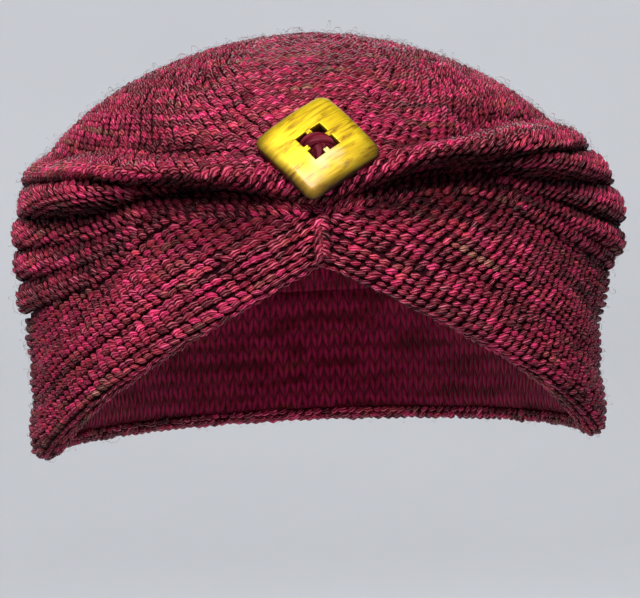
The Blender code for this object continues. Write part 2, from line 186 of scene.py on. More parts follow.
DENTS = {
    "left_above_drape": Dent(math.radians(-62), 0.727, math.radians(-23), 0.672, 0.062, 0.24),
    "left_shoulder": Dent(math.radians(-55), 0.785, math.radians(-34), 0.752, 0.060, 0.14),
    "left_sweep": Dent(math.radians(-31), 0.870, math.radians(-17), 0.765, 0.070, 0.15),
    "right_above_drape": Dent(math.radians(35), 0.768, math.radians(56), 0.730, 0.062, 0.24),
    "right_sweep": Dent(math.radians(15), 0.815, math.radians(42), 0.870, 0.070, 0.12),
}


def blend(start, end, share):
    return start + (end - start) * share


def eased(share):
    share = np.clip(share, 0.0, 1.0)
    return share * share * (3 - 2 * share)


def past(azimuth, start, over):
    """0 up to one azimuth and 1 beyond another, eased between them. Both are in degrees."""
    return eased((azimuth - math.radians(start)) / math.radians(over))


def unit(vectors):
    return vectors / np.maximum(np.linalg.norm(vectors, axis=-1, keepdims=True), 1e-12)


def square_to(vectors, along):
    """Unit vectors turned square to others that are of unit length."""
    return unit(vectors - along * np.sum(vectors * along, axis=-1, keepdims=True))


def along_wrap(at_gather, stations, azimuth):
    """A smooth value at an azimuth that never passes the values at the stations beside it."""
    values = (at_gather,) + tuple(stations)
    places = STATION_AZIMUTH
    spans = range(len(stations))
    steps = [(values[i + 1] - values[i]) / (places[i + 1] - places[i]) for i in spans]
    slopes = [steps[0]]
    for before, after in zip(steps, steps[1:]):
        slopes.append(2 * before * after / (before + after) if before * after > 0 else 0.0)
    slopes.append(0.0)
    angle = min(abs(azimuth), math.pi)
    i = max(k for k in spans if places[k] <= angle)
    width = places[i + 1] - places[i]
    t = (angle - places[i]) / width
    lead = t * (1 - t) * (1 - t) * width * slopes[i]
    trail = t * t * (t - 1) * width * slopes[i + 1]
    return values[i] + (values[i + 1] - values[i]) * t * t * (3 - 2 * t) + lead + trail


def climb_at(height):
    """The angle up the dome at which a height lies. It is below 0 on the level wall."""
    rise = (np.asarray(height) - SHOULDER_HEIGHT) / DOME_HEIGHT
    domed = np.arcsin(np.clip(rise, 0.0, 1.0) ** (DOME_POWER / 2))
    return np.where(rise > 0, domed, rise)


def skin_frame(azimuth, climb):
    """Points of the smooth skin at one azimuth and an array of climbs, with outward normals."""
    climb = np.asarray(climb, dtype=float)
    over = np.clip(climb, 0.0, math.pi / 2)
    girth = np.maximum(np.cos(over), 0.0) ** (2 / DOME_POWER)
    rise = np.where(climb > 0, np.sin(over) ** (2 / DOME_POWER), climb)
    up = np.maximum(rise, 0.0)
    point = np.stack([HALF_WIDTH * girth * math.sin(azimuth),
                      DOME_SETBACK * up - HALF_LENGTH * girth * math.cos(azimuth),
                      SHOULDER_HEIGHT + DOME_HEIGHT * rise], axis=-1)
    lean = girth ** (DOME_POWER - 1)
    normal = np.stack([lean * math.sin(azimuth) / HALF_WIDTH,
                       -lean * math.cos(azimuth) / HALF_LENGTH,
                       up ** (DOME_POWER - 1) / DOME_HEIGHT], axis=-1)
    return point, unit(normal)


def dented(points, azimuth):
    """How deep the dents are at points of one azimuth."""
    depth = np.zeros(len(points))
    for dent in DENTS.values():
        run = HALF_WIDTH * (dent.to_azimuth - dent.from_azimuth)
        rise = WRAP_HEIGHT * (dent.to_height - dent.from_height)
        across = HALF_WIDTH * (azimuth - dent.from_azimuth)
        up = points[:, 2] - WRAP_HEIGHT * dent.from_height
        share = np.clip((across * run + up * rise) / (run * run + rise * rise), 0.0, 1.0)
        away = np.hypot(across - share * run, up - share * rise)
        depth += dent.depth * FOLD_RELIEF * np.exp(-(away / (dent.spread * HALF_WIDTH)) ** 2)
    return depth


def rim_height(azimuth):
    """The rim falls evenly from the top of the arch and eases into its level part."""
    turned = math.hypot(azimuth, ARCH_ROUNDING) - ARCH_ROUNDING
    left_to_fall = 1 - turned / ARCH_TURN
    return ARCH_HEIGHT * (left_to_fall + math.hypot(left_to_fall, LEVEL_EASING / ARCH_TURN)) / 2


def pinch_at(azimuth):
    return PINCH_DEPTH * math.exp(-((azimuth / PINCH_SPREAD) ** 2))


class Crease(NamedTuple):
    climb: float
    proud: float
    roll: float


def creases_at(azimuth):
    folds = LEFT_FOLDS if azimuth < 0 else RIGHT_FOLDS
    creases = []
    for order, name in enumerate(FOLD_NAMES):
        fold = folds[name]
        is_shoulder = name == "shoulder"
        at_gather = GATHER_HEIGHT + GATHER_PITCH * (len(FOLD_NAMES) - 1 - order)
        height = along_wrap(BUTTON_HEIGHT if is_shoulder else at_gather,
                            [share * WRAP_HEIGHT for share in fold.height], azimuth)
        inset = along_wrap(DRAPE_CREST if is_shoulder else -PINCH_DEPTH,
                           [share * FOLD_RELIEF for share in fold.inset], azimuth)
        roll = along_wrap(0.0, [share * FOLD_RELIEF for share in fold.roll], azimuth)
        creases.append(Crease(float(climb_at(height)), inset, roll))
    return creases


def draped_swell(share):
    over = np.clip((share - DRAPE_CREST_SHARE) / (1 - DRAPE_CREST_SHARE), 0.0, 1.0)
    return np.where(share < DRAPE_CREST_SHARE, eased(share / DRAPE_CREST_SHARE), np.sqrt(1 - over ** 2))


def creased_swell(share):
    return np.sqrt(np.maximum(np.sin(math.pi * share), 0.0))


def crown_outside(azimuth, dome_rows, drape_rows, roll_rows):
    """The crown's outside at one azimuth, from its top to its hem: climbs and how proud each lies."""
    creases = creases_at(azimuth)
    share = np.arange(dome_rows) / dome_rows
    climbs = [blend(math.pi / 2, creases[0].climb, share)]
    prouds = [creases[0].proud * eased(share)]
    for order, (upper, lower) in enumerate(zip(creases, creases[1:])):
        is_drape = order == 0
        rows = drape_rows if is_drape else roll_rows
        share = np.arange(rows) / rows
        swell = draped_swell(share) if is_drape else creased_swell(share)
        hang = min(lower.roll / FOLD_RELIEF, 1.0) if is_drape else 0.0
        climbs.append(blend(upper.climb, lower.climb, share) - DRAPE_SAG / DOME_HEIGHT * hang * swell * share)
        prouds.append(blend(upper.proud, lower.proud, share) + lower.roll * swell)
    climbs = np.append(np.concatenate(climbs), creases[-1].climb)
    prouds = np.append(np.concatenate(prouds), creases[-1].proud)
    points, normals = skin_frame(azimuth, climbs)
    prouds[1:] -= dented(points[1:], azimuth)
    return points, normals, prouds


def band_outside(azimuth, rows, turns):
    """The band's outside at one azimuth, from its top to the far side of its rolled rim."""
    top = creases_at(azimuth)[-1]
    top_climb = top.climb - GAP / DOME_HEIGHT
    half_roll = RIM_ROLL / 2
    edge = rim_height(azimuth)
    roll_climb = float(climb_at(edge + half_roll))
    sideways = math.sin(min(abs(azimuth), math.pi / 2))
    share = np.arange(rows + 1) / rows
    ridge = np.abs(np.sin(math.pi * BAND_RIDGES * share)) * RIDGE_RELIEF * sideways
    waist = BAND_WAIST * np.sin(math.pi * share) * sideways
    proud = blend(top.proud, ridge - waist - pinch_at(azimuth), eased(share / RECESS_SHARE))
    climb = blend(top_climb, roll_climb, share)
    angle = math.pi * np.arange(1, turns + 1) / turns
    round_climb = climb_at(edge + half_roll - half_roll * np.sin(angle))
    round_proud = proud[-1] - half_roll * (1 - np.cos(angle))
    points, normals = skin_frame(azimuth, np.concatenate([climb, round_climb]))
    return points, normals, np.concatenate([proud, round_proud])


def beneath(profile, azimuth, depth):
    """A profile moved in under the surface that it draws, by the depth of the stitches."""
    down = np.gradient(profile, axis=0)
    along = np.array([HALF_WIDTH * math.cos(azimuth), HALF_LENGTH * math.sin(azimuth), 0.0])
    return profile - unit(np.cross(down, along)) * depth


def azimuths(columns):
    """Azimuths all round from the back, closer together at the front."""
    turn = math.pi * (2 * np.arange(columns + 1) / columns - 1)
    return turn - FRONT_CROWDING * np.sin(turn)


def kept(obj, *replaced, finish, slot):
    """Hands a finished piece over: it rides with the wrap and takes its finish. Its slot is not used."""
    obj.data.materials.append(finish)
    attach(obj, "root")
    if replaced:
        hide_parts(*replaced)
    return obj


def linked(name, data):
    obj = bpy.data.objects.new(name, data)
    bpy.context.scene.collection.objects.link(obj)
    return obj


def smooth_object(name, bm):
    for face in bm.faces:
        face.smooth = True
    mesh = bpy.data.meshes.new(name)
    bm.to_mesh(mesh)
    bm.free()
    return linked(name, mesh)


# The two walls under the stitches

def wall(name, sections, courses, covered):
    """A grid wrapped round into a closed wall, with its UVs counted in stitches and rows.

    The first rows, down to the covered one, lie behind the stitches and take the second material, a
    near-black painted shade.
    """
    columns = len(sections) - 1
    rows = len(sections[0]) - 1
    bm = bmesh.new()
    bmesh.ops.create_grid(bm, x_segments=columns, y_segments=rows, size=0.5)
    uv = bm.loops.layers.uv.new("stitches")
    for face in bm.faces:
        face.material_index = int((face.calc_center_median().y + 0.5) * rows < covered)
        for loop in face.loops:
            loop[uv].uv = ((loop.vert.co.x + 0.5) * WALES, (loop.vert.co.y + 0.5) * courses)
    for vert in bm.verts:
        column = round((vert.co.x + 0.5) * columns)
        row = round((vert.co.y + 0.5) * rows)
        vert.co = sections[column][row]
    bmesh.ops.remove_doubles(bm, verts=bm.verts, dist=1e-7)
    bmesh.ops.recalc_face_normals(bm, faces=bm.faces)
    return smooth_object(name, bm)


def crown_wall():
    sections = []
    for azimuth in azimuths(WALL_COLUMNS):
        points, normals, proud = crown_outside(azimuth, WALL_DOME, WALL_DRAPE, WALL_ROLL)
        outside = beneath(points + normals * proud[:, None], azimuth, BACKING_DEPTH)
        outside[0] = points[0] - normals[0] * BACKING_DEPTH
        hem = creases_at(azimuth)[-1]
        share = np.arange(CROWN_LINING + 1) / CROWN_LINING
        inner, inward = skin_frame(azimuth, blend(hem.climb, math.pi / 2, share))
        depth = blend(FOLDED_WALL, KNIT_WALL, eased(2 * share))[:, None]
        sections.append(np.concatenate([outside, inner - inward * depth]))
    rolls = len(FOLD_NAMES) - 2
    return wall("crown_backing", sections, CROWN_COURSES, WALL_DOME + WALL_DRAPE + rolls * WALL_ROLL)


def band_wall():
    sections = []
    for azimuth in azimuths(WALL_COLUMNS):
        points, normals, proud = band_outside(azimuth, WALL_BAND, WALL_RIM)
        top_climb = creases_at(azimuth)[-1].climb - GAP / DOME_HEIGHT
        outside = beneath(points + normals * proud[:, None], azimuth, BACKING_DEPTH)
        roll_climb = float(climb_at(rim_height(azimuth) + RIM_ROLL / 2))
        share = np.arange(1, BAND_LINING + 1) / BAND_LINING
        inner, inward = skin_frame(azimuth, blend(roll_climb, top_climb, share))
        depth = blend(RIM_ROLL - proud[WALL_BAND], FOLDED_WALL, share)
        slack = (FOLDED_WALL - KNIT_WALL) * np.sin(math.pi * share)
        lining = inner + inward * (slack - depth)[:, None]
        outside[0, 2] += JOIN_LAP
        lining[-1, 2] += JOIN_LAP
        sections.append(np.concatenate([outside, lining, outside[:1]]))
    return wall("band_backing", sections, BAND_COURSES, WALL_BAND + WALL_RIM)


# Rows of stitches

def arc_lengths(profile):
    steps = np.linalg.norm(np.diff(profile, axis=0), axis=1)
    return np.concatenate([[0.0], np.cumsum(steps)])


def profiles(outside_at, *rows):
    """The outside of the wrap down every column, drawn with so many rows."""
    curves = []
    for azimuth in AZIMUTHS:
        points, normals, proud = outside_at(azimuth, *rows)
        curves.append(points + normals * proud[:, None])
    return np.array(curves)


def at_lengths(profile, lengths, wanted):
    return np.stack([np.interp(wanted, lengths, profile[:, axis]) for axis in range(3)], axis=-1)


class Rows(NamedTuple):
    """Curves of stitches round the wrap, with the way out, the spacing and the openness along them, which
    darkens the yarn as painted shade.
    """
    points: np.ndarray
    out: np.ndarray
    spacing: np.ndarray
    open: np.ndarray


def openness(points, out, outline):
    """How little the cloth above and below stands over each point of a column, from 0 to 1. A low value is
    painted on the yarn as shade.
    """
    apart = outline[None, :, :] - points[:, None, :]
    away = np.linalg.norm(apart, axis=-1)
    rise = np.einsum("pqk,pk->pq", apart, out) / np.maximum(away, 1e-6)
    rise[(away < ROW_PITCH) | (away > SHELTER_REACH)] = 0.0
    return 1 - eased(np.max(rise, axis=1) / FULL_SHELTER)


def lay_rows(curves, stations, outlines):
    """Rows at the given lengths down each profile. Stations has a row for each course."""
    course = np.empty((stations.shape[0], len(curves), 3))
    reach = ROW_PITCH / 2
    above = np.empty_like(course)
    below = np.empty_like(course)
    for column, profile in enumerate(curves):
        lengths = arc_lengths(profile)
        wanted = stations[:, column]
        course[:, column] = at_lengths(profile, lengths, wanted)
        above[:, column] = at_lengths(profile, lengths, np.maximum(wanted - reach, 0.0))
        below[:, column] = at_lengths(profile, lengths, np.minimum(wanted + reach, lengths[-1]))
    along = np.roll(course, -1, axis=1) - np.roll(course, 1, axis=1)
    along[:, 0] = course[:, 1] - course[:, -2]
    along[:, -1] = along[:, 0]
    along = unit(along)
    out = np.cross(square_to(below - above, along), along)
    spacing = np.abs(np.gradient(stations, axis=0))
    light = [openness(course[:, i], out[:, i], outline) for i, outline in enumerate(outlines)]
    return Rows(course, out, spacing, np.stack(light, axis=1))


class Stitches(NamedTuple):
    """Where each stitch of a piece lies and how it is turned, sized and dyed."""
    place: np.ndarray
    along: np.ndarray
    up: np.ndarray
    out: np.ndarray
    length: np.ndarray
    height: np.ndarray
    azimuth: np.ndarray
    dye: np.ndarray
    open: np.ndarray


def dye_of(rng, count):
    """The colour along a dyed yarn, from 0 to 1: long runs, and short ones of a few stitches."""
    dye = np.zeros(count)
    for stitches_long, share in DYE_RUNS:
        knots = rng.beta(*DYE_ODDS, int(count / stitches_long) + 3)
        at = np.arange(count) / stitches_long + rng.random()
        low = np.floor(at).astype(int)
        dye += share * blend(knots[low], knots[low + 1], eased(at - low))
    return np.clip(DYE_CENTRE + DYE_CONTRAST * (dye - DYE_MEAN), 0.0, 1.0)


def unpaired(azimuth):
    """Every row keeps its own place."""
    return np.zeros_like(azimuth)


def work_rows(rows, counts, rng, slant, pairing=unpaired):
    """Stitches spaced evenly along every row, each row half a stitch on from the one before.

    Where rows come close together, only every second or fourth one is worked. Pairing draws every
    two rows together into a ridge, by a share of the space between rows.
    """
    found = {name: [] for name in Stitches._fields}
    for index, (points, out, spacing, light) in enumerate(zip(*rows)):
        count = counts[index]
        lengths = arc_lengths(points)
        if lengths[-1] <= 0.0:
            continue
        step = lengths[-1] / count
        shift = 0.5 * (index % 2) + rng.normal(0.0, SHIFT_SPREAD, count)
        wanted = np.mod((np.arange(count) + shift) * step, lengths[-1])
        azimuth = np.interp(wanted, lengths, AZIMUTHS)
        gap = np.interp(wanted, lengths, spacing)
        place = at_lengths(points, lengths, wanted)
        ahead = at_lengths(points, lengths, np.minimum(wanted + step / 2, lengths[-1]))
        behind = at_lengths(points, lengths, np.maximum(wanted - step / 2, 0.0))
        along = unit(ahead - behind)
        outward = square_to(at_lengths(out, lengths, wanted), along)
        upward = np.cross(outward, along)
        turn = slant(azimuth, index) + rng.normal(0.0, LEAN_SPREAD, count)
        turned = along * np.cos(turn)[:, None] + upward * np.sin(turn)[:, None]
        upward = upward * np.cos(turn)[:, None] - along * np.sin(turn)[:, None]
        every = np.where(gap < THINNEST_ROW / 2, 4, np.where(gap < THINNEST_ROW, 2, 1))
        shown = (index % every == 0) & (gap > LOST_ROW)
        drawn = pairing(azimuth) * (1 if index % 2 == 0 else -1)
        place = place + upward * ((rng.normal(0.0, RISE_SPREAD, count) + drawn) * gap)[:, None]
        place = place + outward * (rng.normal(0.0, DEPTH_SPREAD, count) - BACKING_DEPTH)[:, None]
        size = rng.normal(1.0, SIZE_SPREAD, count)
        values = {"place": place, "along": turned, "up": upward, "out": outward,
                  "length": step * size, "height": np.clip(gap * every, *STITCH_HEIGHTS) * size,
                  "azimuth": azimuth, "dye": dye_of(rng, count),
                  "open": np.interp(wanted, lengths, light)}
        for name, value in values.items():
            found[name].append(value[shown])
    return Stitches(*(np.concatenate(found[name]) for name in Stitches._fields))


class Bead(NamedTuple):
    """One stitch shape: its points and how open each lies, which darkens it towards its root as painted
    shade, its faces, and a UV for each corner.
    """
    points: np.ndarray
    open: np.ndarray
    corners: np.ndarray
    totals: np.ndarray
    uvs: np.ndarray


def arched_bead(sides, steps, radius, arch, sweep, bow, taper):
    """A plied strand bent into an arch. It is spun from a round, capped, and thinned at its ends."""
    bm = bmesh.new()
    start = Matrix.Translation((0, 0, arch)) @ Matrix.Rotation(math.pi / 2, 4, "Y")
    made = bmesh.ops.create_circle(bm, cap_ends=True, segments=sides, radius=radius, matrix=start)
    lean = Matrix.Rotation(-sweep / 2, 4, "Y")
    bmesh.ops.transform(bm, matrix=lean, verts=made["verts"])
    bmesh.ops.spin(bm, geom=bm.faces[:], cent=(0, 0, 0), axis=(0, 1, 0), angle=sweep, steps=steps)
    bmesh.ops.remove_doubles(bm, verts=bm.verts, dist=radius / 100)
    bmesh.ops.recalc_face_normals(bm, faces=bm.faces)
    uv = bm.loops.layers.uv.new("ply")
    for face in bm.faces:
        round_yarn = []
        for loop in face.loops:
            point = loop.vert.co
            turn = math.atan2(point.x, point.z)
            rise = math.hypot(point.x, point.z) - arch
            round_yarn.append([turn / sweep + 0.5, math.atan2(point.y, -rise) / math.tau + 0.5])
        highest = max(at for _, at in round_yarn)
        for loop, (run, at) in zip(face.loops, round_yarn):
            if highest - at > 0.5:
                at += 1.0
            loop[uv].uv = (run, at)
    for vert in bm.verts:
        turn = math.atan2(vert.co.x, vert.co.z)
        middle = Vector((arch * math.sin(turn), 0.0, arch * math.cos(turn)))
        fullness = blend(taper, 1.0, math.cos(turn * math.pi / sweep))
        vert.co = middle + (vert.co - middle) * fullness
        vert.co.y += bow * (vert.co.z - arch / 2)
    points = np.array([vert.co[:] for vert in bm.verts])
    # Painted shade: the bead's colour darkens towards its root, down to ROOT_OPENNESS
    height = points[:, 2] / points[:, 2].max()
    painted_openness = blend(ROOT_OPENNESS, 1.0, eased((height + 0.1) / 0.9))
    corners = np.array([loop.vert.index for face in bm.faces for loop in face.loops])
    totals = np.array([len(face.loops) for face in bm.faces])
    uvs = np.array([loop[uv].uv[:] for face in bm.faces for loop in face.loops])
    bm.free()
    return Bead(points, painted_openness, corners, totals, uvs)


def knit_together(name, bead, place, axes, colours, light):
    """Many copies of one bead as a single piece. Axes gives each copy its three scaled axes. Light gives each
    copy an openness that, with the bead's own, goes into the alpha of the yarn attribute as painted shade.
    """
    copies = len(place)
    count = len(bead.points)
    points = place[:, None, :] + np.einsum("pk,nkc->npc", bead.points, axes)
    mesh = bpy.data.meshes.new(name)
    mesh.vertices.add(copies * count)
    mesh.vertices.foreach_set("co", points.reshape(-1))
    corners = (bead.corners[None, :] + count * np.arange(copies)[:, None]).reshape(-1)
    totals = np.tile(bead.totals, copies)
    mesh.loops.add(len(corners))
    mesh.loops.foreach_set("vertex_index", corners.astype(np.int32))
    mesh.polygons.add(len(totals))
    starts = np.concatenate([[0], np.cumsum(totals)[:-1]])
    mesh.polygons.foreach_set("loop_start", starts.astype(np.int32))
    mesh.uv_layers.new(name="ply").data.foreach_set("uv", np.tile(bead.uvs.reshape(-1), copies))
    dyed = mesh.attributes.new("yarn", "FLOAT_COLOR", "POINT")
    rgba = np.repeat(np.concatenate([colours, np.ones((copies, 1))], axis=1), count, axis=0)
    rgba[:, 3] = np.tile(bead.open, copies) * np.repeat(light, count)
    dyed.data.foreach_set("color", rgba.reshape(-1))
    mesh.update(calc_edges=True)
    mesh.validate()
    mesh.shade_smooth()
    return linked(name, mesh)


def knitted(name, bead, stitches, rng, plump):
    """A piece of knitting: its beads reach along the row, up to the row above and out."""
    axes = np.stack([stitches.along * stitches.length[:, None],
                     stitches.up * stitches.height[:, None],
                     stitches.out * plump], axis=1)
    count = len(stitches.place)
    colours = np.stack([stitches.dye, rng.random(count), rng.random(count)], axis=1)
    return knit_together(name, bead, stitches.place, axes, colours, stitches.open)


def some(stitches, chosen):
    return Stitches(*(values[chosen] for values in stitches))


AZIMUTHS = azimuths(COLUMNS)


def counts_for(rows, pitch):
    """Stitches in each row: the same over a few rows, then fewer as the rows get shorter."""
    lengths = np.array([arc_lengths(points)[-1] for points in rows.points])
    counts = []
    for start in range(0, len(lengths), ROWS_PER_DECREASE):
        group = lengths[start:start + ROWS_PER_DECREASE]
        counts += [max(FEWEST_STITCHES, int(round(group.mean() / pitch)))] * len(group)
    return counts


# Materials

MIX_SHARE, MIX_FIRST, MIX_SECOND, MIX_RESULT = 0, 6, 7, 2
WOOL_DYES = ((0.00, (0.070, 0.002, 0.007)), (0.20, (0.180, 0.004, 0.018)), (0.42, (0.360, 0.006, 0.042)),
             (0.58, (0.600, 0.013, 0.110)), (0.72, (0.520, 0.028, 0.060)), (0.86, (0.230, 0.036, 0.032)),
             (1.00, (0.270, 0.105, 0.065)))
DYE_MOTTLE = 0.32
FLECK_WANDER = 0.16
SHADE_RANGE = (1.10, 0.48)
STREAK_SPAN = (0.34, 0.70, 0.45, 1.55)
# How dark the painted shade in the grooves between plies is
GROOVE_PAINTED_SHADE = 0.70
# The colour of the painted highlight on the crests of the plies
PAINTED_WOOL_GLINT = (0.66, 0.20, 0.25)
# The colour that the painted shade on the yarn multiplies by
PAINTED_WOOL_SHADE = (0.13, 0.06, 0.08)
# The colour of the painted shade between the knit's legs
PAINTED_LEG_SHADE = (0.10, 0.06, 0.08)
# The near-black painted shade under the stitches
PAINTED_GAP_SHADE = ((0.0, (0.012, 0.001, 0.003)), (1.0, (0.034, 0.002, 0.007)))
SHELL_GOLDS = ((0.32, (0.14, 0.07, 0.002)), (0.40, (0.46, 0.27, 0.003)), (0.50, (0.78, 0.54, 0.005)),
               (0.70, (0.92, 0.72, 0.03)))
# A pale patch, partly the shell's own pearl and partly a painted highlight
PEARL_AND_PAINTED_HIGHLIGHT = (0.56, 0.48, 0.26)
# The colour of the painted shade down the button's sides
SHELL_SIDE_PAINTED_SHADE = (0.20, 0.16, 0.08)
# The colour of the painted shade that darkens the button's face away from a painted bright place
SHELL_PAINTED_SHADE = (0.22, 0.16, 0.06)
PEARL_AND_HIGHLIGHT_PLACE = (-0.14, -0.22, 0.0)
# The centre of the painted bright place on the button's face
PAINTED_LIGHT_PLACE = (0.12, 0.16, 0.0)
FLOOR_GREYS = ((0.0, (0.60, 0.62, 0.66)), (1.0, (0.66, 0.68, 0.72)))


def feed(tree, made, inputs):
    """Gives a node its inputs, by name or place: each a value or the output of another node."""
    for place, value in dict(inputs).items():
        if isinstance(value, bpy.types.NodeSocket):
            tree.links.new(value, made.inputs[place])
        else:
            made.inputs[place].default_value = value


def node(tree, kind, inputs=(), **settings):
    made = tree.nodes.new(kind)
    for name, value in settings.items():
        setattr(made, name, value)
    feed(tree, made, inputs)
    return made


def maths(tree, operation, *values, clamp=False):
    made = node(tree, "ShaderNodeMath", enumerate(values), operation=operation, use_clamp=clamp)
    return made.outputs[0]


def times(tree, value, factor):
    return maths(tree, "MULTIPLY", value, factor)


def noise(tree, vector, **inputs):
    return node(tree, "ShaderNodeTexNoise", {"Vector": vector, **inputs}).outputs[0]


def mapped(tree, value, low, high, to_low=0.0, to_high=1.0, how="SMOOTHSTEP"):
    inputs = {"Value": value, "From Min": low, "From Max": high, "To Min": to_low, "To Max": to_high}
    return node(tree, "ShaderNodeMapRange", inputs, interpolation_type=how).outputs[0]


def mixed(tree, share, first, second, how="MIX"):
    """One colour with a share of a second, plain colour mixed in."""
    inputs = {MIX_SHARE: share, MIX_FIRST: first, MIX_SECOND: (*second, 1.0)}
    return node(tree, "ShaderNodeMix", inputs, data_type="RGBA", blend_type=how).outputs[MIX_RESULT]


def ramped(tree, value, stops):
    """The colour of a value on a ramp. Its stops each have a place and a colour."""
    ramp = node(tree, "ShaderNodeValToRGB", {0: value})
    while len(ramp.color_ramp.elements) < len(stops):
        ramp.color_ramp.elements.new(0.5)
    for element, (at, colour) in zip(ramp.color_ramp.elements, stops):
        element.position = at
        element.color = (*colour, 1.0)
    return ramp.outputs[0]


def lit_by(tree, colour, value):
    return node(tree, "ShaderNodeHueSaturation", {"Color": colour, "Value": value}).outputs[0]


def stretched(tree, uv, scale, turn=0.0):
    inputs = {"Vector": uv, "Rotation": (0.0, 0.0, turn), "Scale": scale}
    return node(tree, "ShaderNodeMapping", inputs).outputs[0]


def distance_from(tree, uv, place):
    return node(tree, "ShaderNodeVectorMath", {0: uv, 1: place}, operation="DISTANCE").outputs["Value"]


def group_with(name, inputs, **outputs):
    """A shader group. An input without a value takes a vector, and the others a number."""
    group = bpy.data.node_groups.new(name, "ShaderNodeTree")
    for label, value in inputs.items():
        kind = "NodeSocketVector" if value is None else "NodeSocketFloat"
        socket = group.interface.new_socket(label, in_out="INPUT", socket_type=kind)
        if value is not None:
            socket.default_value = value
    for label, kind in outputs.items():
        group.interface.new_socket(label, in_out="OUTPUT", socket_type="NodeSocket" + kind)
    return group, node(group, "NodeGroupInput").outputs, node(group, "NodeGroupOutput")


def placed(tree, group, **inputs):
    made = tree.nodes.new("ShaderNodeGroup")
    made.node_tree = group
    feed(tree, made, inputs)
    return made.outputs


def yarn_ply_group():
    """Strands twisted round a yarn: a height and a mask of the grooves between them."""
    group, given, result = group_with("yarn_ply", {"UV": None, "Plies": 3.0, "Twists": 3.6},
                                      Height="Float", Groove="Float")
    along, around, _ = node(group, "ShaderNodeSeparateXYZ", {0: given["UV"]}).outputs
    turns = maths(group, "ADD", times(group, along, given["Twists"]), times(group, around, given["Plies"]))
    strand = maths(group, "ABSOLUTE", maths(group, "SINE", times(group, turns, math.pi)))
    feed(group, result, {"Height": maths(group, "POWER", strand, 0.6),
                         "Groove": maths(group, "SUBTRACT", 1.0, maths(group, "POWER", strand, 0.8))})
    return group


def dyed_wool_group():
    """The variegated dye: wine red, raspberry and dusty pink, with a few brown olive runs."""
    inputs = {"Dye": 0.5, "Shade": 0.5, "Fleck": 0.5, "Vector": None, "Streak": 0.5}
    group, given, result = group_with("dyed_wool", inputs, Color="Color")
    fine = noise(group, given["Vector"], Scale=900.0, Detail=2.0)
    spread = times(group, maths(group, "SUBTRACT", fine, 0.5), DYE_MOTTLE)
    wander = times(group, maths(group, "SUBTRACT", given["Fleck"], 0.5), FLECK_WANDER)
    shifted = maths(group, "ADD", maths(group, "ADD", given["Dye"], spread), wander)
    lighter = maths(group, "MULTIPLY_ADD", given["Shade"], *SHADE_RANGE)
    tone = lit_by(group, ramped(group, shifted, WOOL_DYES), lighter)
    streaked = mapped(group, given["Streak"], *STREAK_SPAN)
    feed(group, result, {"Color": lit_by(group, tone, streaked)})
    return group


def yarn_streaks_group():
    """Fine streaks of fibre that run along a yarn, different on every stitch, from 0 to 1."""
    inputs = {"UV": None, "Along": 1.6, "Round": 15.0, "Seed": 0.0}
    group, given, result = group_with("yarn_streaks", inputs, Streak="Float")
    along, around, _ = node(group, "ShaderNodeSeparateXYZ", {0: given["UV"]}).outputs
    twisted = maths(group, "ADD", around, times(group, along, 0.17))
    spread = node(group, "ShaderNodeCombineXYZ", {0: times(group, along, given["Along"]),
                                                  1: times(group, twisted, given["Round"]),
                                                  2: times(group, given["Seed"], 90.0)})
    feed(group, result, {"Streak": noise(group, spread.outputs[0], Scale=1.0, Detail=2.0)})
    return group


def fibre_group():
    """Fine fibres over the yarn, as a height."""
    group, given, result = group_with("wool_fibre", {"Vector": None, "Size": 2600.0}, Height="Float")
    fibres = noise(group, given["Vector"], Scale=given["Size"], Detail=3.0, Roughness=0.65)
    feed(group, result, {"Height": fibres})
    return group


def knit_legs_group():
    """The V of two leaning legs in every stitch, as a height, on a UV counted in stitches."""
    group, given, result = group_with("knit_legs", {"UV": None, "Lean": 0.75}, Height="Float")
    across, down, _ = node(group, "ShaderNodeSeparateXYZ", {0: given["UV"]}).outputs
    off = maths(group, "ABSOLUTE", maths(group, "SUBTRACT", maths(group, "FRACT", across), 0.5))
    leaned = times(group, times(group, off, given["Lean"]), 2.0)
    fallen = maths(group, "FRACT", maths(group, "ADD", down, leaned))
    leg = maths(group, "SINE", times(group, fallen, math.pi))
    side = maths(group, "SINE", times(group, off, math.tau))
    both = maths(group, "ABSOLUTE", times(group, leg, side))
    feed(group, result, {"Height": maths(group, "POWER", both, 0.5)})
    return group


def new_finish(name):
    """A new material with its tree, its shader and the place of each point on the piece."""
    material = bpy.data.materials.new(name)
    material.use_nodes = True
    tree = material.node_tree
    where = node(tree, "ShaderNodeTexCoord").outputs["Object"]
    return material, tree, tree.nodes["Principled BSDF"], where


def uv_of(tree, name):
    return node(tree, "ShaderNodeUVMap", uv_map=name).outputs[0]


def bumped(tree, shader, height, strength, distance):
    bump = node(tree, "ShaderNodeBump", {"Height": height, "Strength": strength, "Distance": distance})
    feed(tree, shader, {"Normal": bump.outputs[0]})


def set_wool(tree, shader, colour, roughness, sheen):
    feed(tree, shader, {"Base Color": colour, "Roughness": roughness, "Specular IOR Level": 0.11,
                        "Sheen Weight": sheen, "Sheen Roughness": 0.45,
                        "Sheen Tint": (0.95, 0.55, 0.66, 1.0)})


